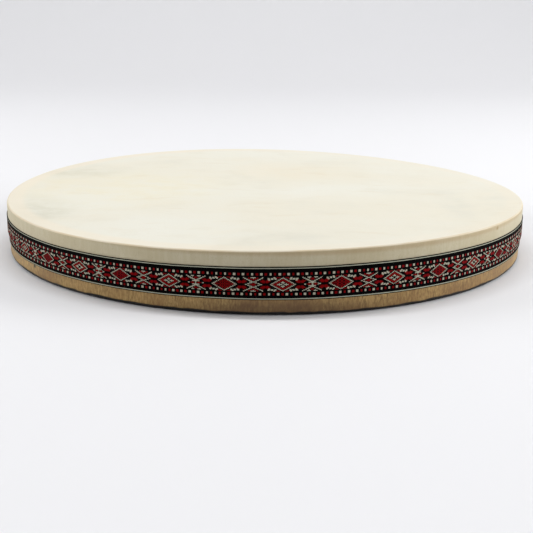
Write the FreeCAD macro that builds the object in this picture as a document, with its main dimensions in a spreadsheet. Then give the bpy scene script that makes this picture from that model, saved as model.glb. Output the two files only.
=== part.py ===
import FreeCAD, Part
import os

import Sketcher

# A single-headed frame drum, standing open side down. The hoop is three strips of flexible plywood
# bent and glued one inside the other, each closed by one butt joint. A goat skin is stretched over
# the top edge, turned down the outside and tacked there, and a woven ribbon glued round the hoop
# hides the tacks and the skin's cut edge.
# Frame: +Z is the drum's axis, the origin is the middle of the ring that it stands on, and -Y is
# the side without joints in the plywood or the ribbon.

# Driving dimensions, in millimetres and degrees.
SIZES = {
    "drum_height": 50.0,
    "shell_radius": 249.0,
    "ply_thickness": 5.0,
    "glue_line": 0.1,
    "joint_angle": 0.1,
    "foot_round": 3.0,
    "bearing_round": 0.8,
    "inner_round": 1.2,
    "skin_thickness": 1.0,
    "skin_clearance": 0.05,
    "skin_edge_height": 21.0,
    "ribbon_bottom": 12.4,
    "ribbon_width": 25.6,
    "ribbon_thickness": 0.8,
    "ribbon_clearance": 0.1,
    "ribbon_step": 2.0,
    "ribbon_lap_angle": 3.0,
    "tack_count": 45.0,
    "tack_height": 30.0,
    "tack_head_radius": 3.0,
    "tack_head_thickness": 0.5,
    "tack_rim_thickness": 0.25,
    "tack_shank_radius": 0.8,
    "tack_shank_length": 9.5,
    "tack_clearance": 0.05,
}

# Where each butt joint and the ribbon's lap stand round the drum, from +X. The three joints are a
# third of a turn apart, and whole numbers of tack spacings keep them midway between two tacks.
TACK_SPACING_ANGLE = 360 / SIZES["tack_count"]
OUTER_PLY_TURN = -11 * TACK_SPACING_ANGLE
PLY_STAGGER = 120
RIBBON_LAP_TURN = 62

doc = FreeCAD.newDocument("frame_drum")


def make_sheet():
    sheet = doc.addObject("Spreadsheet::Sheet", "Sizes")
    for row, (alias, value) in enumerate(SIZES.items(), start=1):
        sheet.set(f"A{row}", alias)
        sheet.set(f"B{row}", str(value))
        sheet.setAlias(f"B{row}", alias)
    doc.recompute()


def size(expression):
    """An expression of driving dimensions, with each alias pointed at the sheet."""
    words = []
    for word in expression.split():
        words.append(f"Sizes.{word}" if word in SIZES else word)
    return " ".join(words)


SHELL_TOP = "drum_height - skin_thickness - skin_clearance"
SKIN_INSIDE = "shell_radius + skin_clearance"
SKIN_OUTSIDE = "shell_radius + skin_clearance + skin_thickness"
SKIN_UNDERSIDE = "drum_height - skin_thickness"
MIDDLE_OUTSIDE = "shell_radius - ply_thickness - glue_line"
INNER_OUTSIDE = f"{MIDDLE_OUTSIDE} - ply_thickness - glue_line"


def origin_feature(body, role):
    for feature in body.Origin.OriginFeatures:
        if feature.Role == role:
            return feature
    raise ValueError(role)


def make_body(label, turn=0):
    body = doc.addObject("PartDesign::Body", label)
    body.Label = label
    axis = FreeCAD.Vector(0, 0, 1)
    body.Placement = FreeCAD.Placement(FreeCAD.Vector(), FreeCAD.Rotation(axis, turn))
    return body


def make_sketch(body, name, plane, offset=None):
    """A sketch on one of the body's own planes. The offset moves it along (x, y, normal)."""
    sketch = body.newObject("Sketcher::SketchObject", name)
    sketch.AttachmentSupport = [(origin_feature(body, plane), "")]
    sketch.MapMode = "FlatFace"
    for direction, expression in (offset or {}).items():
        sketch.setExpression(f"AttachmentOffset.Base.{direction}", size(expression))
    return sketch


def measure(expression):
    """The expression's value, which places a sketch's geometry before its constraints hold it."""
    total, sign = 0.0, 1
    for word in expression.split():
        if word in ("+", "-"):
            sign = 1 if word == "+" else -1
        else:
            total += sign * (SIZES[word] if word in SIZES else float(word))
    return total


def draw_outline(sketch, corners):
    """A closed outline of straight sides, with every corner held at its two expressions."""
    points = [FreeCAD.Vector(measure(across), measure(up), 0) for across, up in corners]
    for start, end in zip(points, points[1:] + points[:1]):
        sketch.addGeometry(Part.LineSegment(start, end), False)
    for side in range(len(corners)):
        following = (side + 1) % len(corners)
        sketch.addConstraint(Sketcher.Constraint("Coincident", side, 2, following, 1))
    for side, (across, up) in enumerate(corners):
        for kind, expression in (("DistanceX", across), ("DistanceY", up)):
            value = measure(expression)
            if value == 0:
                line = -2 if kind == "DistanceX" else -1
                sketch.addConstraint(Sketcher.Constraint("PointOnObject", side, 1, line))
                continue
            held = sketch.addConstraint(Sketcher.Constraint(kind, -1, 1, side, 1, value))
            sketch.setExpression(f"Constraints[{held}]", size(expression))


def revolve(body, name, sketch, axis="V_Axis", angle="360"):
    feature = body.newObject("PartDesign::Revolution", name)
    feature.Profile = sketch
    feature.ReferenceAxis = (sketch, [axis])
    feature.setExpression("Angle", size(angle))
    doc.recompute()
    return feature


def round_edges(body, name, radius, places):
    """Rounds each circular edge that lies at one of the (radius, height) places."""
    base = body.Tip
    edges = []
    for number, edge in enumerate(base.Shape.Edges, start=1):
        for edge_radius, height in places:
            at_height = abs(edge.BoundBox.ZMin - height) < 0.01 and edge.BoundBox.ZLength < 0.01
            if isinstance(edge.Curve, Part.Circle) and at_height:
                if abs(edge.Curve.Radius - edge_radius) < 0.01:
                    edges.append(f"Edge{number}")
    fillet = body.newObject("PartDesign::Fillet", name)
    fillet.Base = (base, edges)
    fillet.setExpression("Radius", size(radius))
    doc.recompute()


def drill(body, name, radius, start, depth):
    """A round pocket at the first tack's place, from the start radius towards the drum's axis."""
    sketch = make_sketch(body, f"{name}_circle", "YZ_Plane", {"z": start})
    centre = FreeCAD.Vector(0, SIZES["tack_height"], 0)
    normal = FreeCAD.Vector(0, 0, 1)
    sketch.addGeometry(Part.Circle(centre, normal, measure(radius)), False)
    sketch.addConstraint(Sketcher.Constraint("PointOnObject", 0, 3, -2))
    held = sketch.addConstraint(
        Sketcher.Constraint("DistanceY", -1, 1, 0, 3, SIZES["tack_height"])
    )
    sketch.setExpression(f"Constraints[{held}]", size("tack_height"))
    held = sketch.addConstraint(Sketcher.Constraint("Radius", 0, measure(radius)))
    sketch.setExpression(f"Constraints[{held}]", size(radius))
    volume_before = body.Shape.Volume
    pocket = body.newObject("PartDesign::Pocket", name)
    pocket.Profile = sketch
    pocket.Type = "Length"
    pocket.setExpression("Length", size(depth))
    doc.recompute()
    if not body.Shape.Volume < volume_before:
        raise ValueError(f"{name} cuts nothing")
    return pocket


def repeat_round_drum(body, features):
    """Repeats the features once for each tack."""
    pattern = body.newObject("PartDesign::PolarPattern", "one_for_each_tack")
    pattern.Originals = features
    pattern.Axis = (origin_feature(body, "Z_Axis"), [""])
    pattern.Angle = 360
    pattern.setExpression("Occurrences", size("tack_count"))
    body.Tip = pattern
    doc.recompute()


def make_ply(label, outer_radius, turn):
    """One strip of the hoop, bent round until its ends nearly meet at the butt joint."""
    body = make_body(label, turn)
    sketch = make_sketch(body, f"{label}_section", "XZ_Plane")
    inner_radius = f"{outer_radius} - ply_thickness"
    corners = [
        (inner_radius, "0"),
        (outer_radius, "0"),
        (outer_radius, SHELL_TOP),
        (inner_radius, SHELL_TOP),
    ]
    draw_outline(sketch, corners)
    ring = revolve(body, f"{label}_bend", sketch, angle="360 - joint_angle")
    ring.Midplane = True
    doc.recompute()
    return body


def make_outer_ply():
    body = make_ply("shell_outer_ply", "shell_radius", OUTER_PLY_TURN)
    shell_top = measure(SHELL_TOP)
    round_edges(body, "foot_rounding", "foot_round", [(SIZES["shell_radius"], 0)])
    round_edges(body, "bearing_rounding", "bearing_round", [(SIZES["shell_radius"], shell_top)])
    radius = "tack_shank_radius + tack_clearance"
    hole = drill(body, "tack_hole", radius, "shell_radius + 1", "ply_thickness + 2")
    repeat_round_drum(body, [hole])
    return body


def make_middle_ply():
    body = make_ply("shell_middle_ply", MIDDLE_OUTSIDE, OUTER_PLY_TURN + PLY_STAGGER)
    radius = "tack_shank_radius + tack_clearance"
    hole = drill(body, "tack_hole", radius, f"{MIDDLE_OUTSIDE} + 1", "ply_thickness")
    repeat_round_drum(body, [hole])
    return body


def make_inner_ply():
    body = make_ply("shell_inner_ply", INNER_OUTSIDE, OUTER_PLY_TURN + 2 * PLY_STAGGER)
    inner_radius = measure(f"{INNER_OUTSIDE} - ply_thickness")
    places = [(inner_radius, 0), (inner_radius, measure(SHELL_TOP))]
    round_edges(body, "inner_rounding", "inner_round", places)
    return body


def make_drumhead():
    """The skin: a flat disc with its rim turned down the outside of the hoop."""
    body = make_body("drumhead")
    sketch = make_sketch(body, "skin_section", "XZ_Plane")
    corners = [
        ("0", SKIN_UNDERSIDE),
        (SKIN_INSIDE, SKIN_UNDERSIDE),
        (SKIN_INSIDE, "skin_edge_height"),
        (SKIN_OUTSIDE, "skin_edge_height"),
        (SKIN_OUTSIDE, "drum_height"),
        ("0", "drum_height"),
    ]
    draw_outline(sketch, corners)
    revolve(body, "skin", sketch)
    inner_edge = (measure(SKIN_INSIDE), measure(SKIN_UNDERSIDE))
    outer_edge = (measure(SKIN_OUTSIDE), SIZES["drum_height"])
    round_edges(body, "inner_bend", "bearing_round + skin_clearance", [inner_edge])
    outer_bend = "bearing_round + skin_clearance + skin_thickness"
    round_edges(body, "outer_bend", outer_bend, [outer_edge])
    shank_radius = "tack_shank_radius + tack_clearance"
    shank_hole = drill(body, "tack_hole", shank_radius, f"{SKIN_OUTSIDE} + 1", "skin_thickness + 2")
    head_radius = "tack_head_radius + tack_clearance"
    seat_depth = "tack_head_thickness + tack_clearance + 1"
    head_seat = drill(body, "tack_seat", head_radius, f"{SKIN_OUTSIDE} + 1", seat_depth)
    repeat_round_drum(body, [shank_hole, head_seat])
    return body


def make_tacks():
    """The tacks that hold the skin, each a solid of its own, driven in towards the drum's axis."""
    body = make_body("head_tacks")
    body.AllowCompound = True
    sketch = make_sketch(body, "tack_section", "XZ_Plane", {"y": "tack_height"})
    under_head = f"{SKIN_OUTSIDE} - tack_head_thickness"
    corners = [
        (f"{under_head} - tack_shank_length", "0"),
        (under_head, "tack_shank_radius"),
        (under_head, "tack_head_radius"),
        (f"{under_head} + tack_rim_thickness", "tack_head_radius"),
        (SKIN_OUTSIDE, "tack_head_radius - 1"),
        (SKIN_OUTSIDE, "0"),
    ]
    draw_outline(sketch, corners)
    tack = revolve(body, "tack", sketch, axis="H_Axis")
    repeat_round_drum(body, [tack])
    return body


def ribbon_section(layer):
    """The ribbon's section, which steps in below the skin's cut edge. Layer 1 lies on layer 0."""
    upper_back = f"{SKIN_OUTSIDE} + ribbon_clearance" + " + ribbon_thickness" * layer
    lower_back = "shell_radius + ribbon_clearance" + " + ribbon_thickness" * layer
    top = "ribbon_bottom + ribbon_width"
    step_low = "skin_edge_height - ribbon_step"
    return [
        (lower_back, "ribbon_bottom"),
        (f"{lower_back} + ribbon_thickness", "ribbon_bottom"),
        (f"{lower_back} + ribbon_thickness", step_low),
        (f"{upper_back} + ribbon_thickness", "skin_edge_height"),
        (f"{upper_back} + ribbon_thickness", top),
        (upper_back, top),
        (upper_back, "skin_edge_height"),
        (lower_back, step_low),
    ]


def make_ribbon():
    """The ribbon, once round the hoop, with its last few centimetres glued over its start."""
    body = make_body("ribbon", RIBBON_LAP_TURN)
    for layer, (name, angle) in enumerate((("band", "360"), ("lap", "ribbon_lap_angle"))):
        sketch = make_sketch(body, f"{name}_section", "XZ_Plane")
        draw_outline(sketch, ribbon_section(layer))
        revolve(body, name, sketch, angle=angle)
    return body


def check_document():
    for item in doc.Objects:
        if {"Invalid", "Error"} & set(item.State):
            raise ValueError(f"{item.Name}: {item.State}")


def export(bodies):
    for body in bodies:
        if body.Shape.isNull() or not body.Shape.isValid():
            raise ValueError(f"{body.Label} has no valid shape")
    os.makedirs("parts", exist_ok=True)
    for body in bodies:
        body.Shape.exportStep(f"parts/{body.Label}.step")
        solids = len(body.Shape.Solids)
        print(f"{body.Label}: {solids} solids, {body.Shape.Volume / 1000:.2f} cm3")


make_sheet()
sub_parts = [
    make_outer_ply(),
    make_middle_ply(),
    make_inner_ply(),
    make_drumhead(),
    make_tacks(),
    make_ribbon(),
]
doc.recompute()
check_document()
export(sub_parts)
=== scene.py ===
import math

import bpy
import numpy as np
from mathutils import Matrix, Vector


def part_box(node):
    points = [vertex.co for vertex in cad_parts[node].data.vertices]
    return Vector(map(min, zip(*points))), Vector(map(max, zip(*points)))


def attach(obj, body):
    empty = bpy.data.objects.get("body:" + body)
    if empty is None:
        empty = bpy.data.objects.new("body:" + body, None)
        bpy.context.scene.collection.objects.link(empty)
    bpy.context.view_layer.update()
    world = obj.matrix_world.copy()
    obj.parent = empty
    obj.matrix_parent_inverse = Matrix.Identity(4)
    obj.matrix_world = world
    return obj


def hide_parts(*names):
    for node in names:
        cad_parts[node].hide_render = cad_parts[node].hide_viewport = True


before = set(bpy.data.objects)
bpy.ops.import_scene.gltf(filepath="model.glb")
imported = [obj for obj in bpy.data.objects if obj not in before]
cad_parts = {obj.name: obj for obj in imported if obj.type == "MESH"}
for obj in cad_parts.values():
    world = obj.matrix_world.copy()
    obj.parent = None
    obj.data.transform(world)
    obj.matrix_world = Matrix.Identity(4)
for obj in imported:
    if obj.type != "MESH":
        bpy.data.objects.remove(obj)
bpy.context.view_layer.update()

# A frame drum lying skin up on a pale floor: three bent plies, a goat skin turned down over the
# outer one, hidden tacks, and a woven ribbon round the side. Everything is in metres, apart from
# the ribbon's pattern, which is laid out in millimetres. Angles run from +X anticlockwise, seen
# from above, and -Y is the drum's front.

MM = 0.001
TAU = 2 * math.pi
BODY = "root"

SKIN_LOW, SKIN_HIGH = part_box("drumhead")
RIBBON_LOW, RIBBON_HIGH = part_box("ribbon")
SHELL_RADIUS, MIDDLE_RADIUS, INNER_RADIUS = (
    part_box(node)[1].x for node in ("shell_outer_ply", "shell_middle_ply", "shell_inner_ply")
)

DRUM_HEIGHT = SKIN_HIGH.z
SKIN_RADIUS = SKIN_HIGH.x
SKIN_EDGE = SKIN_LOW.z
SHELL_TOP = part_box("shell_outer_ply")[1].z
PLY_THICKNESS = 5 * MM
PLY_GLUE = 0.1 * MM
SKIN_THICKNESS = 1 * MM
SKIN_GLUE = 0.05 * MM
HOOP_INSIDE = INNER_RADIUS - PLY_THICKNESS
RIBBON_THICKNESS = 0.8 * MM
RIBBON_BOTTOM = RIBBON_LOW.z
RIBBON_WIDTH = RIBBON_HIGH.z - RIBBON_LOW.z

# The hoop's edges: the rounded foot outside, the skin's bearing at the top, the edge that the
# player's fingers hold inside, and every other edge, which is only eased.
FOOT_ROUND = 3 * MM
BEARING_ROUND = 0.8 * MM
HAND_ROUND = 1.2 * MM
EASED_EDGE = 0.15 * MM

# The skin's pull has drawn the hoop's top edge a little out of flat. The foot stays on the floor.
TWIST_ALONG = -1.3 * MM
TWIST_ACROSS = -1.85 * MM


# --- camera -------------------------------------------------------------------------------------

# The camera's place in metres, its turns in degrees, and its lens in millimetres.
CAMERA_PLACE = (0, -0.9347, 0.2326)
CAMERA_PITCH, CAMERA_YAW, CAMERA_ROLL = 15.76, 0.13, 0.6
LENS_LENGTH, SENSOR_WIDTH = 64.06, 36


def make_camera():
    """A long lens in front of the drum and a little above it, with a slight roll."""
    pitch, yaw, roll = (math.radians(turn) for turn in (CAMERA_PITCH, CAMERA_YAW, CAMERA_ROLL))
    forward = Vector(
        (math.sin(yaw) * math.cos(pitch), math.cos(yaw) * math.cos(pitch), -math.sin(pitch))
    )
    level = forward.cross(Vector((0, 0, 1))).normalized()
    upright = level.cross(forward)
    right = math.cos(roll) * level + math.sin(roll) * upright
    up = math.cos(roll) * upright - math.sin(roll) * level
    data = bpy.data.cameras.new("camera")
    data.sensor_width = SENSOR_WIDTH
    data.lens = LENS_LENGTH
    data.clip_start = 0.01
    data.clip_end = 100
    camera = bpy.data.objects.new("camera", data)
    bpy.context.scene.collection.objects.link(camera)
    axes = Matrix((right, up, -forward)).transposed().to_4x4()
    camera.matrix_world = Matrix.Translation(CAMERA_PLACE) @ axes
    bpy.context.scene.camera = camera


make_camera()


# --- node helpers -------------------------------------------------------------------------------


def tone(red, green, blue):
    """A linear colour from the 0 to 255 steps of a screen colour."""
    steps = []
    for step in (red, green, blue):
        part = step / 255
        steps.append(part / 12.92 if part <= 0.04045 else ((part + 0.055) / 1.055) ** 2.4)
    return (*steps, 1.0)


class Shade:
    """One material and the nodes that feed its shader."""

    def __init__(self, name, **plain):
        self.material = bpy.data.materials.new(name)
        self.material.use_nodes = True
        self.tree = self.material.node_tree
        self.shader = self.tree.nodes["Principled BSDF"]
        for socket, value in plain.items():
            self.shader.inputs[socket.replace("_", " ")].default_value = value

    def node(self, kind, inputs, **settings):
        """A new node. Its inputs are sockets to link or plain values."""
        made = self.tree.nodes.new(kind)
        for key, value in settings.items():
            setattr(made, key, value)
        for socket, value in inputs.items():
            if isinstance(value, bpy.types.NodeSocket):
                self.tree.links.new(value, made.inputs[socket])
            else:
                made.inputs[socket].default_value = value
        return made

    def place(self):
        """The point's place on the object, in metres."""
        return self.node("ShaderNodeTexCoord", {}).outputs["Object"]

    def parts(self, vector):
        return self.node("ShaderNodeSeparateXYZ", {0: vector}).outputs

    def stretch(self, vector, scale):
        made = self.node("ShaderNodeMapping", {"Vector": vector, "Scale": scale})
        return made.outputs[0]

    def maths(self, operation, first, second=0.0):
        made = self.node("ShaderNodeMath", {0: first, 1: second}, operation=operation)
        return made.outputs[0]

    def radius(self):
        """How far the point is from the drum's axis."""
        x, y, _ = self.parts(self.place())
        squares = self.maths("ADD", self.maths("MULTIPLY", x, x), self.maths("MULTIPLY", y, y))
        return self.maths("SQRT", squares)

    def noise(self, vector, scale, detail=3.0, roughness=0.5):
        inputs = {"Vector": vector, "Scale": scale, "Detail": detail, "Roughness": roughness}
        return self.node("ShaderNodeTexNoise", inputs).outputs[0]

    def spot(self, vector, centre, reach):
        """1 at a spot's centre, fading to 0 at its reach along each axis."""
        away = self.node("ShaderNodeVectorMath", {0: vector, 1: centre}, operation="SUBTRACT")
        scale = tuple(1 / along for along in reach)
        distance = self.node(
            "ShaderNodeVectorMath", {0: self.stretch(away.outputs[0], scale)}, operation="LENGTH"
        )
        return self.span(distance.outputs["Value"], 1.0, 0.25)

    def span(self, value, low, high, to_low=0.0, to_high=1.0):
        """The value mapped smoothly from low..high to to_low..to_high."""
        inputs = {0: value, 1: low, 2: high, 3: to_low, 4: to_high}
        made = self.node("ShaderNodeMapRange", inputs, interpolation_type="SMOOTHSTEP")
        return made.outputs[0]

    def mix(self, factor, first, second):
        """The first colour at factor 0, and the second at factor 1."""
        inputs = {0: factor, 6: first, 7: second}
        return self.node("ShaderNodeMix", inputs, data_type="RGBA").outputs[2]

    def colour(self, socket):
        self.tree.links.new(socket, self.shader.inputs["Base Color"])

    def rough(self, socket):
        self.tree.links.new(socket, self.shader.inputs["Roughness"])

    def bump(self, heights):
        """Bumps laid one on the other, each (height socket, strength, distance)."""
        normal = None
        for height, strength, distance in heights:
            inputs = {"Height": height, "Strength": strength, "Distance": distance}
            made = self.node("ShaderNodeBump", inputs)
            if normal is not None:
                self.tree.links.new(normal, made.inputs["Normal"])
            normal = made.outputs[0]
        self.tree.links.new(normal, self.shader.inputs["Normal"])


# --- materials ----------------------------------------------------------------------------------

# The hide is thinner and greyer in a few places by the hoop, and warmer in two wide ones: each
# spot's centre, reach, depth and colour.
SKIN_SPOTS = (
    ((-0.12, 0.03, DRUM_HEIGHT), (0.15, 0.13, 0.03), 0.4, tone(224, 215, 184)),
    ((0.06, 0.13, DRUM_HEIGHT), (0.09, 0.06, 0.03), 0.22, tone(228, 213, 184)),
    ((-0.19, -0.075, DRUM_HEIGHT), (0.06, 0.08, 0.03), 0.42, tone(186, 183, 162)),
    ((-0.175, 0.115, DRUM_HEIGHT), (0.065, 0.055, 0.03), 0.36, tone(186, 183, 162)),
    ((0.215, -0.03, DRUM_HEIGHT), (0.025, 0.1, 0.03), 0.22, tone(188, 191, 183)),
    ((0.05, -0.18, DRUM_HEIGHT), (0.09, 0.055, 0.03), 0.16, tone(188, 188, 178)),
)

# A small brown mark on the skin's bend: its centre and reach.
SKIN_MARK = ((0.197, -0.155, 0.0482), (0.003, 0.003, 0.0024))

# The wood is darkest low at the drum's front, and has a small black mark under the ribbon's lower
# edge: each one's centre and reach.
DARKER_LOW_FRONT = ((0.02, -SHELL_RADIUS, 0.003), (0.12, 0.06, 0.012))
WOOD_MARK = ((-0.1967, -0.1526, 0.0102), (0.0027, 0.0027, 0.0021))


def skin_material():
    """Scraped goat skin: pale cream, faintly clouded, with thin greyish spots near the hoop."""
    shade = Shade("goat_skin", Specular_IOR_Level=0.2)
    place = shade.place()
    radius = shade.radius()
    _, _, facing_up = shade.parts(shade.node("ShaderNodeNewGeometry", {}).outputs["Normal"])

    # The top's clouds are drawn on places that wander sideways, so none of them looks stretched.
    drift = shade.node("ShaderNodeTexNoise", {"Vector": place, "Scale": 7.0, "Detail": 2.0})
    bent = shade.node(
        "ShaderNodeVectorMath", {0: drift.outputs[1], 1: (0.06, 0.06, 0.0)}, operation="MULTIPLY"
    )
    wandering = shade.node("ShaderNodeVectorMath", {0: place, 1: bent.outputs[0]}).outputs[0]
    cloud = shade.noise(shade.stretch(wandering, (5, 8, 5)), 1.0, 5.0, 0.6)
    cream = shade.mix(shade.span(cloud, 0.34, 0.68), tone(221, 219, 207), tone(220, 215, 198))
    mottle = shade.noise(shade.stretch(wandering, (26, 32, 26)), 1.0, 4.0, 0.65)
    cream = shade.mix(shade.span(mottle, 0.48, 0.74, 0, 0.4), cream, tone(213, 208, 191))
    thin = shade.noise(shade.stretch(wandering, (9, 12, 9)), 1.3, 4.0, 0.62)
    cream = shade.mix(shade.span(thin, 0.54, 0.78, 0, 0.3), cream, tone(206, 205, 193))
    uneven = shade.span(mottle, 0.32, 0.62, 0.25, 1.0)
    for centre, reach, depth, painted_shading_and_fuzz in SKIN_SPOTS:
        spot = shade.spot(wandering, centre, reach)
        amount = shade.maths("MULTIPLY", shade.maths("MULTIPLY", spot, uneven), depth)
        cream = shade.mix(amount, cream, painted_shading_and_fuzz)
    vein = shade.noise(shade.stretch(wandering, (17, 60, 17)), 1.0, 5.0, 0.6)
    cream = shade.mix(shade.span(vein, 0.56, 0.76, 0, 0.22), cream, tone(206, 190, 158))
    pore = shade.noise(place, 900.0, 2.0, 0.6)
    cream = shade.mix(shade.span(pore, 0.55, 0.8, 0, 0.2), cream, tone(192, 182, 156))

    # Over the hoop's wall the skin is warmer, and its bend is stained tan.
    on_hoop = shade.span(radius, HOOP_INSIDE - 4 * MM, HOOP_INSIDE + 5 * MM)
    x, _, height = shade.parts(place)
    warmth = shade.maths("MULTIPLY", on_hoop, shade.span(x, 0.1, -0.15, 0.25, 0.6))
    cream = shade.mix(warmth, cream, tone(226, 216, 196))
    bend_stain = shade.maths(
        "MULTIPLY",
        shade.span(radius, SKIN_RADIUS - 1.9 * MM, SKIN_RADIUS - 0.9 * MM),
        shade.span(shade.noise(place, 22.0, 4.0), 0.35, 0.65, 0.3, 1.0),
    )
    cream = shade.mix(shade.maths("MULTIPLY", bend_stain, 0.6), cream, tone(198, 173, 128))

    # Turned down the side, it is greyer, and brown just below the bend.
    grain = shade.noise(shade.stretch(place, (330, 330, 60)), 1.0, 4.0, 0.65)
    side = shade.mix(shade.span(grain, 0.3, 0.7), tone(187, 177, 148), tone(194, 185, 158))
    blotch = shade.noise(place, 24.0, 4.0)
    side = shade.mix(shade.span(blotch, 0.42, 0.7, 0, 0.5), side, tone(180, 167, 134))
    side = shade.mix(shade.span(pore, 0.5, 0.8, 0, 0.35), side, tone(158, 146, 116))
    brown = shade.span(height, DRUM_HEIGHT - 4.0 * MM, DRUM_HEIGHT - 0.6 * MM, 0, 0.42)
    side = shade.mix(brown, side, tone(168, 140, 98))
    cream = shade.mix(shade.span(facing_up, 0.75, 0.3), cream, side)

    mark = shade.maths("MULTIPLY", shade.spot(place, *SKIN_MARK), 0.7)
    cream = shade.mix(mark, cream, tone(150, 126, 78))

    # The flesh side, seen from below, is browner.
    flesh = shade.noise(shade.stretch(place, (60, 25, 60)), 1.0, 5.0, 0.65)
    under = shade.mix(shade.span(flesh, 0.3, 0.7), tone(206, 190, 156), tone(228, 218, 192))
    shade.colour(shade.mix(shade.span(facing_up, -0.3, -0.7), cream, under))

    shade.rough(shade.span(cloud, 0.3, 0.7, 0.62, 0.48))
    shade.bump(((mottle, 0.2, 0.3 * MM), (pore, 0.3, 0.12 * MM), (grain, 0.08, 0.1 * MM)))
    return shade.material


def plywood_material():
    """Flexible plywood: the face grain runs up the hoop, and the edges show each ply's layers."""
    shade = Shade("plywood", Specular_IOR_Level=0.35)
    place = shade.place()
    radius = shade.radius()
    fine = shade.noise(shade.stretch(place, (620, 620, 190)), 1.0, 6.0, 0.75)
    broad = shade.noise(shade.stretch(place, (70, 70, 14)), 1.0, 4.0, 0.6)
    stain = shade.noise(shade.stretch(place, (14, 14, 20)), 1.0, 5.0, 0.65)
    face = shade.mix(shade.span(fine, 0.3, 0.72), tone(122, 94, 52), tone(194, 161, 101))
    face = shade.mix(shade.span(broad, 0.4, 0.7, 0, 0.45), face, tone(156, 121, 72))
    face = shade.mix(shade.span(stain, 0.46, 0.7, 0, 0.6), face, tone(112, 78, 46))
    pore = shade.noise(shade.stretch(place, (1500, 1500, 150)), 1.0, 2.0, 0.5)
    face = shade.mix(shade.span(pore, 0.6, 0.75, 0, 0.5), face, tone(72, 48, 26))
    # Darker low at the drum's front.
    darker_low_front = shade.spot(place, *DARKER_LOW_FRONT)
    face = shade.mix(shade.maths("MULTIPLY", darker_low_front, 0.6), face, tone(78, 52, 34))
    face = shade.mix(shade.spot(place, *WOOD_MARK), face, tone(12, 10, 10))

    # On an edge the layers are rings: two thick veneers of each ply with a thin core between them.
    depth = shade.maths("SUBTRACT", SHELL_RADIUS + PLY_GLUE / 2, radius)
    in_ply = shade.maths("MODULO", depth, PLY_THICKNESS + PLY_GLUE)
    core = shade.maths("ABSOLUTE", shade.maths("SUBTRACT", in_ply, PLY_THICKNESS / 2))
    edge = shade.mix(shade.span(core, 0.3 * MM, 0.5 * MM), tone(112, 82, 50), tone(196, 168, 122))
    edge_grain = shade.noise(shade.stretch(place, (900, 900, 900)), 1.0, 2.0)
    edge = shade.mix(shade.span(edge_grain, 0.4, 0.7, 0, 0.4), edge, tone(150, 120, 80))
    normal = shade.node("ShaderNodeNewGeometry", {}).outputs["Normal"]
    _, _, facing_up = shade.parts(normal)
    on_edge = shade.span(shade.maths("ABSOLUTE", facing_up), 0.7, 0.9)
    wood = shade.mix(on_edge, face, edge)

    # The rounded foot is painted near black up to an uneven line: painted shade for the dark gap
    # under the hoop's outer edge.
    _, _, height = shade.parts(place)
    uneven = shade.span(shade.noise(place, 45.0, 3.0), 0.3, 0.7, -0.5 * MM, 0.5 * MM)
    low_down = shade.span(shade.maths("ADD", height, uneven), 3.6 * MM, 2.5 * MM)
    outermost = shade.span(radius, SHELL_RADIUS - 4.2 * MM, SHELL_RADIUS - 2.7 * MM)
    painted_foot_shade = shade.maths("MULTIPLY", low_down, outermost)
    shade.colour(shade.mix(painted_foot_shade, wood, tone(9, 5, 3)))
    shade.rough(shade.span(fine, 0.3, 0.7, 0.42, 0.6))
    shade.bump(((fine, 0.35, 0.25 * MM), (pore, 0.3, 0.12 * MM)))
    return shade.material


# One float of thread on the ribbon, in millimetres along it and up it.
THREAD_WIDTH, THREAD_HEIGHT = 0.42, 0.63


def yarn_material(name, dark, light, gloss):
    """One colour of the ribbon's yarn, with short slanting floats of thread, darker in their
    grooves and lighter on their crests by painted shade and painted highlight.

    The map "weave" gives millimetres along the ribbon and up it.
    """
    shade = Shade(f"yarn_{name}", Specular_IOR_Level=gloss)
    weave = shade.node("ShaderNodeUVMap", {}, uv_map="weave").outputs[0]
    along, across, _ = shade.parts(weave)
    slant = shade.maths("ADD", along, shade.maths("MULTIPLY", across, 0.6))
    ridge = shade.maths("SINE", shade.maths("MULTIPLY", slant, TAU / THREAD_WIDTH))
    row = shade.maths("SINE", shade.maths("MULTIPLY", across, TAU / THREAD_HEIGHT))
    thread = shade.maths("ADD", ridge, row)
    fuzz = shade.noise(shade.stretch(weave, (3.5, 3.5, 1)), 1.0, 3.0, 0.6)
    # The weave's relief is painted into the colour: painted shade in the grooves and painted
    # highlight on the crests, with random fuzz on top.
    thread_painted_shading = shade.span(thread, -2.0, 2.0, 0.0, 0.55)
    painted_shading_and_fuzz = shade.maths("ADD", thread_painted_shading, shade.span(fuzz, 0.3, 0.7, 0, 0.45))
    shade.colour(shade.mix(painted_shading_and_fuzz, dark, light))
    shade.rough(shade.span(fuzz, 0.3, 0.7, 0.65, 0.8))
    shade.bump(((thread, 0.4, 0.1 * MM), (fuzz, 0.3, 0.08 * MM)))
    return shade.material


def steel_material():
    """The tacks' dark blued steel, paler and smoother where it is worn."""
    shade = Shade("tack_steel", Metallic=1.0)
    place = shade.place()
    wear = shade.noise(place, 900.0, 3.0, 0.6)
    shade.colour(shade.mix(shade.span(wear, 0.35, 0.65), tone(84, 86, 94), tone(150, 150, 152)))
    shade.rough(shade.span(wear, 0.35, 0.65, 0.5, 0.3))
    shade.bump(((wear, 0.3, 0.05 * MM),))
    return shade.material


# --- meshes -------------------------------------------------------------------------------------


def twist(points):
    """Lifts or lowers each point by the hoop's twist, in full at the top and not at the foot."""
    angle = np.arctan2(points[:, 1], points[:, 0])
    reach = np.clip(np.hypot(points[:, 0], points[:, 1]) / SHELL_RADIUS, 0, 1) ** 2
    lift = TWIST_ALONG * np.cos(2 * angle) + TWIST_ACROSS * np.sin(2 * angle)
    points[:, 2] += lift * reach * points[:, 2] / DRUM_HEIGHT
    return points


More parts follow.
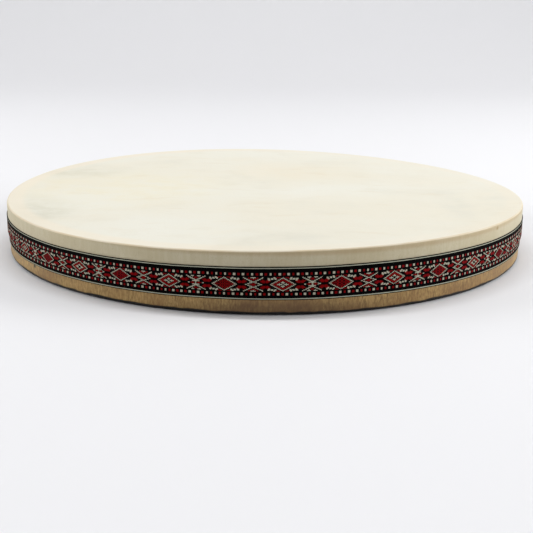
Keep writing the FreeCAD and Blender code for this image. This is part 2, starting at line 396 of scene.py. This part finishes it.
def make_piece(name, points, faces, materials, smooth_angle=40):
    """A new piece on the drum, smooth apart from its edges sharper than an angle in degrees."""
    mesh = bpy.data.meshes.new(name)
    mesh.from_pydata(twist(points).tolist(), [], faces)
    mesh.update()
    for material in materials:
        mesh.materials.append(material)
    piece = bpy.data.objects.new(name, mesh)
    bpy.context.scene.collection.objects.link(piece)
    mesh.shade_smooth()
    mesh.set_sharp_from_angle(angle=math.radians(smooth_angle))
    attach(piece, BODY)
    return piece


def arc(centre, radius, start, end, steps):
    """Points of a section's rounded corner, from one angle to the other, in degrees."""
    points = []
    for step in range(steps + 1):
        turn = math.radians(start + (end - start) * step / steps)
        points.append((centre[0] + radius * math.cos(turn), centre[1] + radius * math.sin(turn)))
    return points


def ripple(angle, seed, waves=(7, 11, 17, 29)):
    """A slow unevenness round the drum, between about -1 and 1, that closes on itself."""
    draw = np.random.default_rng(seed)
    total = np.zeros_like(angle)
    for wave in waves:
        total += np.sin(wave * angle + draw.uniform(0, TAU)) / len(waves)
    return total


SEGMENTS = 720
SIDE_STEPS = 6
JOINT_GAP = 0.4 * MM


def ply_section(inner, outer, foot_round, top_round, inner_round):
    """A ply's section, anticlockwise from its inside foot, with straight sides cut in steps."""
    top = SHELL_TOP
    section = []
    section += arc((inner + inner_round, inner_round), inner_round, 180, 270, 4)
    section += arc((outer - foot_round, foot_round), foot_round, 270, 360, 8)
    for step in range(1, SIDE_STEPS):
        section.append((outer, foot_round + (top - top_round - foot_round) * step / SIDE_STEPS))
    section += arc((outer - top_round, top - top_round), top_round, 0, 90, 5)
    section += arc((inner + inner_round, top - inner_round), inner_round, 90, 180, 4)
    for step in range(1, SIDE_STEPS):
        section.append((inner, top - inner_round - (top - 2 * inner_round) * step / SIDE_STEPS))
    return np.array(section)


def make_ply(name, node, outer, rounds, joint_angle, seed, material):
    """A ply bent round the drum, whose ends meet in a narrow open joint at an angle in degrees."""
    section = ply_section(outer - PLY_THICKNESS, outer, *rounds)
    half_gap = JOINT_GAP / 2 / outer
    angles = math.radians(joint_angle) + np.linspace(half_gap, TAU - half_gap, SEGMENTS + 1)
    out_of_round = 0.12 * MM * ripple(angles, seed)
    radii = section[:, 0][None, :] + out_of_round[:, None]
    points = np.stack(
        (
            radii * np.cos(angles)[:, None],
            radii * np.sin(angles)[:, None],
            np.broadcast_to(section[:, 1], radii.shape),
        ),
        axis=-1,
    ).reshape(-1, 3)
    count = len(section)
    faces = []
    for turn in range(SEGMENTS):
        for corner in range(count):
            following = (corner + 1) % count
            low, high = turn * count, (turn + 1) * count
            faces.append((low + corner, high + corner, high + following, low + following))
    faces.append(tuple(range(count)))
    faces.append(tuple(reversed(range(SEGMENTS * count, (SEGMENTS + 1) * count))))
    piece = make_piece(name, points, faces, [material])
    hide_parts(node)
    return piece


def make_drumhead(material):
    """The skin, from its middle out over the hoop's edge and down the side, and back inside."""
    bend = BEARING_ROUND + SKIN_GLUE + SKIN_THICKNESS
    inner_bend = bend - SKIN_THICKNESS
    bend_centre = (SKIN_RADIUS - bend, DRUM_HEIGHT - bend)
    ring_parts = (0.08, 0.2, 0.32, 0.44, 0.55, 0.65, 0.74, 0.82, 0.88)
    rings = [SKIN_RADIUS * part for part in ring_parts]
    rings += list(np.linspace(0.92 * SKIN_RADIUS, SKIN_RADIUS - 1.3 * bend, 9))
    outside = [(ring, DRUM_HEIGHT) for ring in rings]
    outside += arc(bend_centre, bend, 90, 0, 10)
    steps = 10
    fall = SKIN_EDGE - bend_centre[1]
    for step in range(1, steps + 1):
        outside.append((SKIN_RADIUS, bend_centre[1] + fall * step / steps))
    inside = [(SKIN_RADIUS - SKIN_THICKNESS, SKIN_EDGE)]
    inside += [(SKIN_RADIUS - SKIN_THICKNESS, SKIN_EDGE + 10 * MM)]
    inside += arc(bend_centre, inner_bend, 0, 90, 6)
    inside += [(ring, DRUM_HEIGHT - SKIN_THICKNESS) for ring in reversed(rings[1::2])]
    section = np.array(outside + inside)

    angles = np.linspace(0, TAU, SEGMENTS, endpoint=False)
    radii = np.broadcast_to(section[:, 0], (SEGMENTS, len(section))).copy()
    heights = np.broadcast_to(section[:, 1], radii.shape).copy()

    # The side is slightly wrinkled, the cut edge is uneven, and the top is least flat at its rim.
    down_side = (section[:, 0] > SKIN_RADIUS - bend) & (section[:, 1] < DRUM_HEIGHT - 0.9 * bend)
    wrinkle = 0.05 * MM * ripple(angles, 3, (31, 53, 87, 131)) + 0.1 * MM * ripple(angles, 4)
    radii[:, down_side] += wrinkle[:, None]
    cut = section[:, 1] <= SKIN_EDGE
    heights[:, cut] += (0.8 * MM * ripple(angles, 5, (9, 14, 23, 41)))[:, None]
    on_top = section[:, 0] < SKIN_RADIUS - bend
    fade = np.where(on_top, section[:, 0] / SKIN_RADIUS, 0) ** 3
    heights += 0.12 * MM * ripple(angles, 6, (5, 8, 13, 21))[:, None] * fade[None, :]
    points = np.stack(
        (radii * np.cos(angles)[:, None], radii * np.sin(angles)[:, None], heights), axis=-1
    ).reshape(-1, 3)
    count = len(section)
    top_middle, under_middle = len(points), len(points) + 1
    middles = [(0, 0, DRUM_HEIGHT), (0, 0, DRUM_HEIGHT - SKIN_THICKNESS)]
    points = np.vstack((points, middles))
    faces = []
    for turn in range(SEGMENTS):
        low, high = turn * count, ((turn + 1) % SEGMENTS) * count
        for ring in range(count - 1):
            faces.append((low + ring, low + ring + 1, high + ring + 1, high + ring))
        faces.append((top_middle, low, high))
        faces.append((under_middle, high + count - 1, low + count - 1))
    piece = make_piece("drumhead_skin", points, faces, [material])
    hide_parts("drumhead")
    return piece


# --- ribbon -------------------------------------------------------------------------------------

# The pattern is cut in cells, and each cell shows one yarn. One repeat of it runs along the ribbon
# from PHASE on, where 0 is the middle of the drum's front, and each motif is painted by distances
# from its own centre. All are in millimetres.
REPEAT = 86.6
COLUMNS_IN_REPEAT = 182
COLUMN = REPEAT / COLUMNS_IN_REPEAT
PHASE = -28.4

# Its rows, from the ribbon's lower edge up: an edge painted near black as shade, a grey line,
# a row of squares, the motifs, and the same again in the other order.
LOWER_LINE, UPPER_LINE = (0.65, 1.35), (24.3, 24.95)
LOWER_SQUARES, UPPER_SQUARES = (3.75, 5.55), (19.35, 21.15)
SQUARES_IN_REPEAT = 26
SQUARE_PART = 0.5
MOTIF_LOW, MOTIF_HIGH = 6.8, 18.0
MOTIF_ROWS = 17
CELL_HEIGHT = (MOTIF_HIGH - MOTIF_LOW) / MOTIF_ROWS

# The yarns, and how far each one stands proud of the black ground, in millimetres.
# SHADOW is no yarn but painted shade along both edges, and the colour of the hidden back and ends.
BLACK, RED, WINE, WHITE, GREY, SHADOW = range(6)
YARN_PROUD = (0.0, 0.16, 0.13, 0.2, 0.12, 0.05)

# The ribbon's start, its lap over it, and the stretch in which it climbs, in degrees.
RIBBON_START = 62.0
RIBBON_LAP = 3.0
RIBBON_CLIMB = 1.4

# The gaps that its glue fills under it and in its lap, and how many columns of its front share one
# column of its plain back.
RIBBON_GLUE = 0.1 * MM
LAP_GLUE = 0.05 * MM
BACK_STEP = 4

# The ribbon was pulled tighter in some stretches than in others, so its pattern drifts a little.
PULL = 2.2
PULL_TURN = math.radians(-103.7)


def ribbon_rows():
    """The heights of the row edges, in millimetres from the ribbon's lower edge."""
    lower = (0.0, *LOWER_LINE, *LOWER_SQUARES)
    motif = np.linspace(MOTIF_LOW, MOTIF_HIGH, MOTIF_ROWS + 1)
    upper = (*UPPER_SQUARES, *UPPER_LINE, RIBBON_WIDTH / MM)
    return np.concatenate((lower, motif, upper))


def diamond(across, up, half_width, half_height):
    """Below 1 inside a diamond of this size, and above 1 outside it."""
    return np.abs(across) / half_width + np.abs(up) / half_height


def oval(across, up, half_width, half_height):
    """Where the point is within an oval of this size."""
    return (across / half_width) ** 2 + (up / half_height) ** 2 < 1


def line(across, up, start, end, thickness):
    """Where the point is within a straight stroke between two points, or just past its ends."""
    run, rise = end[0] - start[0], end[1] - start[1]
    length = math.hypot(run, rise)
    along = ((across - start[0]) * run + (up - start[1]) * rise) / length
    off = np.abs((across - start[0]) * rise - (up - start[1]) * run) / length
    return (off < thickness / 2) & (along > -0.2) & (along < length + 0.2)


def paint_diamond(cells, across, up, crossed):
    """A white-edged diamond, filled with red or holding a small white cross, with its leaves."""
    for side in (-1, 1):
        for row in (-1, 1):
            dash = line(side * across, row * up, (2.0, 5.2), (4.3, 5.0), 0.9)
            cells[dash] = RED
            for leaf, level in ((5.8, 4.6), (8.0, 4.3), (10.2, 4.0)):
                lean = 0.4 * (side * across - leaf)
                lobe = oval(side * across - leaf, row * up - level - lean, 1.1, 0.85)
                cells[lobe] = WHITE
    inner = diamond(across, up, 10.4, 6.1) < 1
    cells[inner] = BLACK
    outline = diamond(across, up, 9.5, 5.4)
    cells[outline < 1] = WHITE
    cells[outline < 0.88] = BLACK
    cells[outline < 0.8] = RED
    if not crossed:
        for slope in (-1, 1):
            lattice = (across / (7 * COLUMN) + slope * up / (3 * CELL_HEIGHT)) % 1 < 0.3
            cells[(outline < 0.72) & lattice] = WINE
        return
    cells[outline < 0.5] = BLACK
    for side in (-1, 1):
        cells[diamond(across - 2.5 * side, up, 1.7, 0.8) < 1] = WHITE
        cells[diamond(across, up - 1.4 * side, 1.6, 0.8) < 1] = WHITE
    cells[diamond(across, up, 0.8, 0.5) < 1] = BLACK


def paint_cross(cells, across, up, ovals):
    """A flat cross of white strokes through a small diamond, with red between its arms."""
    for row in (-1, 1):
        for side in (-1, 1):
            stroke = line(side * across, row * up, (0.2, 1.8), (7.2, 5.2), 0.7)
            cells[stroke] = WHITE
            if ovals:
                cells[oval(side * across - 2.5, row * up - 5.1, 1.4, 0.5)] = WHITE
            else:
                cells[line(side * across, row * up, (0.0, 3.5), (3.6, 5.1), 0.95)] = RED
        if ovals:
            cells[diamond(across, row * up - 3.9, 1.9, 1.0) < 1] = RED
        else:
            cells[diamond(across, row * up - 5.4, 2.2, 0.9) < 1] = WHITE
    flat = diamond(across, up, 6.1, 2.4)
    cells[flat < 1] = WHITE
    if ovals:
        for side in (-1, 1):
            cells[oval(across - 2.4 * side, up, 2.2, 1.1)] = BLACK
            cells[oval(across - 2.4 * side, up, 1.7, 0.7)] = RED
        return
    cells[diamond(across, up, 4.6, 1.8) < 1] = BLACK
    cells[diamond(across, up, 2.3, 1.2) < 1] = RED


def paint_bows(cells, across, up):
    """Two pairs of red lozenges, one above the other, between a diamond and a cross."""
    for row in (-1, 1):
        for side in (-1, 1):
            lean = 0.15 * (side * across - 1.7)
            cells[diamond(side * across - 1.6, row * up - 2.2 - lean, 2.4, 1.45) < 1] = RED


def ribbon_pattern(columns, heights):
    """The yarn that shows in each cell, for columns along the ribbon and rows across it."""
    along, height = np.meshgrid(columns, heights, indexing="ij")
    place = (along - PHASE) % REPEAT
    cells = np.full(along.shape, BLACK)
    # The outermost rows are painted shade.
    cells[(height < LOWER_LINE[0]) | (height > UPPER_LINE[1])] = SHADOW
    for low, high in (LOWER_LINE, UPPER_LINE):
        cells[(height > low) & (height < high)] = GREY
    step = REPEAT / SQUARES_IN_REPEAT
    for (low, high), shift in ((LOWER_SQUARES, -2 * COLUMN), (UPPER_SQUARES, 0.0)):
        in_row = (height > low) & (height < high)
        number = np.floor((place - shift) / step)
        within = (place - shift) / step - number
        cells[in_row & (within < SQUARE_PART)] = RED
        cells[in_row & (within < SQUARE_PART) & (number % 2 == 0)] = WHITE
    up = height - (MOTIF_LOW + MOTIF_HIGH) / 2
    in_motif = np.abs(up) < (MOTIF_HIGH - MOTIF_LOW) / 2

    # Diamonds and crosses take turns. The fifth motif is the next repeat's first diamond, whose
    # left half ends this repeat.
    motif = np.full(along.shape, BLACK)
    quarter = REPEAT / 4
    for number in range(5):
        across = place - number * quarter
        if number % 2 == 0:
            paint_diamond(motif, across, up, crossed=number % 4 == 2)
            continue
        paint_cross(motif, across, up, ovals=number == 3)
        for side in (-1, 1):
            paint_bows(motif, across - 8.75 * side, up)
    cells[in_motif] = motif[in_motif]
    return cells


def ribbon_back_radius(height):
    """The ribbon's inner face: on the wood below, and stepped out over the skin's edge above."""
    step = np.clip((height - (SKIN_EDGE - 3 * MM)) / (4 * MM), 0, 1)
    smooth = step * step * (3 - 2 * step)
    low, high = SHELL_RADIUS + RIBBON_GLUE, SKIN_RADIUS + RIBBON_GLUE
    return low + (high - low) * smooth


def make_ribbon(materials):
    """The woven band. Each face is one cell of the weave, and its yarn is its material."""
    mean_radius = SKIN_RADIUS
    start = math.radians(RIBBON_START)
    sweep = math.radians(360 + RIBBON_LAP)
    count = BACK_STEP * round(sweep * mean_radius / MM / COLUMN / BACK_STEP)
    first = round(((start - 1.5 * math.pi) * mean_radius / MM - PHASE) / COLUMN)
    along = PHASE + COLUMN * (first + np.arange(count + 1))
    angles = 1.5 * math.pi + along * MM / mean_radius
    rows = ribbon_rows()
    middle_angles = (angles[1:] + angles[:-1]) / 2
    pull = PULL * np.cos(4 * (middle_angles - PULL_TURN))
    middle_columns = (along[1:] + along[:-1]) / 2 + pull
    middle_rows = (rows[1:] + rows[:-1]) / 2
    cells = ribbon_pattern(middle_columns, middle_rows)

    # Coloured yarns stand a little proud of the black ground, and both edges are thinner.
    proud = np.choose(cells, YARN_PROUD) * MM
    padded = np.pad(proud, 1, mode="edge")
    relief = (padded[:-1, :-1] + padded[1:, :-1] + padded[:-1, 1:] + padded[1:, 1:]) / 4
    relief[:, 0] = relief[:, -1] = -0.1 * MM

    # The end of the ribbon climbs over its start.
    past = angles - start - math.radians(360 - RIBBON_CLIMB)
    climb = np.clip(past / math.radians(RIBBON_CLIMB), 0, 1)
    lift = (climb * climb * (3 - 2 * climb)) * (RIBBON_THICKNESS + LAP_GLUE)
    wander = 0.15 * MM * ripple(angles, 8, (6, 10, 15, 27))
    heights = RIBBON_BOTTOM + rows[None, :] * MM + wander[:, None]
    edge_wave = 0.06 * MM * ripple(angles, 9, (83, 131, 211))
    heights[:, 0] += edge_wave
    heights[:, -1] += edge_wave
    ground = RIBBON_THICKNESS - max(YARN_PROUD) * MM
    outer = ribbon_back_radius(heights) + lift[:, None] + ground + relief
    front = np.stack(
        (outer * np.cos(angles)[:, None], outer * np.sin(angles)[:, None], heights), axis=-1
    )
    row_count = len(rows)

    # The back is plain, so it has fewer columns and rows. Its rows follow the step over the skin.
    back_columns = np.arange(0, count + 1, BACK_STEP)
    back_rows = np.array([0.0, 6.0, 9.5, 13.5, RIBBON_WIDTH / MM])
    back_angles = angles[back_columns]
    back_heights = RIBBON_BOTTOM + back_rows[None, :] * MM + wander[back_columns][:, None]
    back_radii = ribbon_back_radius(back_heights) + lift[back_columns][:, None]
    back = np.stack(
        (
            back_radii * np.cos(back_angles)[:, None],
            back_radii * np.sin(back_angles)[:, None],
            back_heights,
        ),
        axis=-1,
    )
    points = np.vstack((front.reshape(-1, 3), back.reshape(-1, 3)))
    first_back = front.shape[0] * row_count
    back_count = len(back_rows)

    def at_front(column, row):
        return column * row_count + row

    def at_back(column, row):
        return first_back + column * back_count + row

    faces, yarns = [], []
    for column in range(count):
        for row in range(row_count - 1):
            faces.append(
                (
                    at_front(column, row),
                    at_front(column + 1, row),
                    at_front(column + 1, row + 1),
                    at_front(column, row + 1),
                )
            )
            yarns.append(int(cells[column, row]))
    for column in range(count // BACK_STEP):
        for row in range(back_count - 1):
            faces.append(
                (
                    at_back(column, row),
                    at_back(column, row + 1),
                    at_back(column + 1, row + 1),
                    at_back(column + 1, row),
                )
            )
        parts = range(column * BACK_STEP, (column + 1) * BACK_STEP + 1)
        lower = [at_front(part, 0) for part in parts]
        faces.append((*reversed(lower), at_back(column, 0), at_back(column + 1, 0)))
        upper = [at_front(part, row_count - 1) for part in parts]
        last = back_count - 1
        faces.append((*upper, at_back(column + 1, last), at_back(column, last)))
    for column, back_column, turned in ((0, 0, True), (count, count // BACK_STEP, False)):
        end = [at_front(column, row) for row in range(row_count)]
        end += [at_back(back_column, row) for row in reversed(range(back_count))]
        faces.append(tuple(reversed(end)) if turned else tuple(end))
    yarns += [SHADOW] * (len(faces) - len(yarns))
    piece = make_piece("woven_ribbon", points, faces, materials, 60)
    mesh = piece.data
    mesh.polygons.foreach_set("material_index", yarns)
    weave = mesh.uv_layers.new(name="weave")
    corners = np.empty(len(mesh.loops), np.int32)
    mesh.loops.foreach_get("vertex_index", corners)
    around = np.concatenate(
        (np.repeat(along, row_count), np.repeat(along[back_columns], back_count))
    )
    upward = np.concatenate((np.tile(rows, count + 1), np.tile(back_rows, len(back_columns))))
    weave.data.foreach_set("uv", np.stack((around[corners], upward[corners]), axis=-1).ravel())
    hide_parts("ribbon")
    return piece


# --- the drum -----------------------------------------------------------------------------------

plywood = plywood_material()
skin = skin_material()
yarns = [
    yarn_material("black", tone(0, 0, 0), tone(5, 5, 6), 0.02),
    yarn_material("red", tone(66, 0, 1), tone(154, 0, 6), 0.05),
    yarn_material("wine", tone(10, 0, 1), tone(42, 0, 3), 0.04),
    yarn_material("white", tone(134, 132, 114), tone(207, 204, 184), 0.1),
    yarn_material("grey", tone(124, 126, 110), tone(204, 206, 184), 0.1),
    # The last is painted shade for the ribbon's edges, not a yarn.
    yarn_material("edge", tone(2, 2, 2), tone(14, 13, 10), 0.03),
]

outer_rounds = (FOOT_ROUND, BEARING_ROUND, EASED_EDGE)
middle_rounds = (EASED_EDGE, EASED_EDGE, EASED_EDGE)
inner_rounds = (EASED_EDGE, EASED_EDGE, HAND_ROUND)
outer_ply = make_ply(
    "hoop_outer_ply", "shell_outer_ply", SHELL_RADIUS, outer_rounds,
    joint_angle=92, seed=11, material=plywood,
)
middle_ply = make_ply(
    "hoop_middle_ply", "shell_middle_ply", MIDDLE_RADIUS, middle_rounds,
    joint_angle=212, seed=12, material=plywood,
)
inner_ply = make_ply(
    "hoop_inner_ply", "shell_inner_ply", INNER_RADIUS, inner_rounds,
    joint_angle=332, seed=13, material=plywood,
)
drumhead = make_drumhead(skin)
ribbon = make_ribbon(yarns)

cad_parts["head_tacks"].material_slots[0].material = steel_material()


# --- floor and light ----------------------------------------------------------------------------

# The level part of the floor: its reach behind, before and beside the drum, and its corners'
# radius. A level ring along its border keeps the smooth shading of the bend away from its middle.
FLOOR_BACK, FLOOR_FRONT, FLOOR_SIDE, FLOOR_CORNER = 1.6, -2.6, 2.6, 1.5
FLOOR_BORDER = 0.3

# Round it the floor bends up into a wall: the bend's radius, and the wall's height.
WALL_BEND, WALL_TOP = 2.0, 3.5


def floor_corners():
    """Points round the level floor's four corners, each a corner's centre and a direction."""
    x = FLOOR_SIDE - FLOOR_CORNER
    back = FLOOR_BACK - FLOOR_CORNER
    front = FLOOR_FRONT + FLOOR_CORNER
    outline = []
    for centre, start in (((x, back), 0), ((-x, back), 90), ((-x, front), 180), ((x, front), 270)):
        for direction in range(start, start + 91, 10):
            outline.append((*centre, math.radians(direction)))
    return outline


def make_floor():
    """A pale sweep: level under the drum, and curving up into a wall all round, far from it."""
    profile = [(-FLOOR_BORDER, 0.0)]
    profile += [(out, WALL_BEND + up) for out, up in arc((0, 0), WALL_BEND, 270, 360, 24)]
    profile += [(WALL_BEND, WALL_TOP)]
    outline = floor_corners()
    points = []
    for out, height in profile:
        reach = FLOOR_CORNER + out
        for x, y, turn in outline:
            points.append((x + reach * math.cos(turn), y + reach * math.sin(turn), height))
    count = len(outline)
    faces = [tuple(range(count))]
    for ring in range(len(profile) - 1):
        low, high = ring * count, (ring + 1) * count
        for point in range(count):
            following = (point + 1) % count
            faces.append((low + point, high + point, high + following, low + following))
    mesh = bpy.data.meshes.new("floor")
    mesh.from_pydata(points, [], faces)
    mesh.shade_smooth()
    floor = bpy.data.objects.new("floor", mesh)
    bpy.context.scene.collection.objects.link(floor)
    shade = Shade("floor", Roughness=0.75, Specular_IOR_Level=0.2)
    shade.shader.inputs["Base Color"].default_value = tone(225, 225, 227)
    mesh.materials.append(shade.material)


def make_light(name, place, target, width, depth, power):
    """A rectangular lamp, aimed at a point."""
    data = bpy.data.lights.new(name, "AREA")
    data.shape = "RECTANGLE"
    data.size = width
    data.size_y = depth
    data.energy = power
    light = bpy.data.objects.new(name, data)
    bpy.context.scene.collection.objects.link(light)
    light.location = place
    aim = Vector(target) - Vector(place)
    light.rotation_mode = "QUATERNION"
    light.rotation_quaternion = aim.to_track_quat("-Z", "Y")


def make_world(strength):
    """Even white light from all round."""
    world = bpy.data.worlds.new("studio")
    world.use_nodes = True
    background = world.node_tree.nodes["Background"]
    background.inputs["Color"].default_value = (1.0, 1.0, 1.0, 1.0)
    background.inputs["Strength"].default_value = strength
    bpy.context.scene.world = world


make_floor()
make_light("overhead", (0.0, 0.55, 4.5), (0, 0.55, 0), width=4.0, depth=0.35, power=112)
make_light("left", (-2.2, 0.0, 1.0), (0, 0, 0), width=1.2, depth=1.5, power=27)
make_light("right", (2.2, 0.0, 1.0), (0, 0, 0), width=1.2, depth=1.5, power=43)
make_world(strength=0.21)
bpy.context.scene.view_settings.view_transform = "Standard"
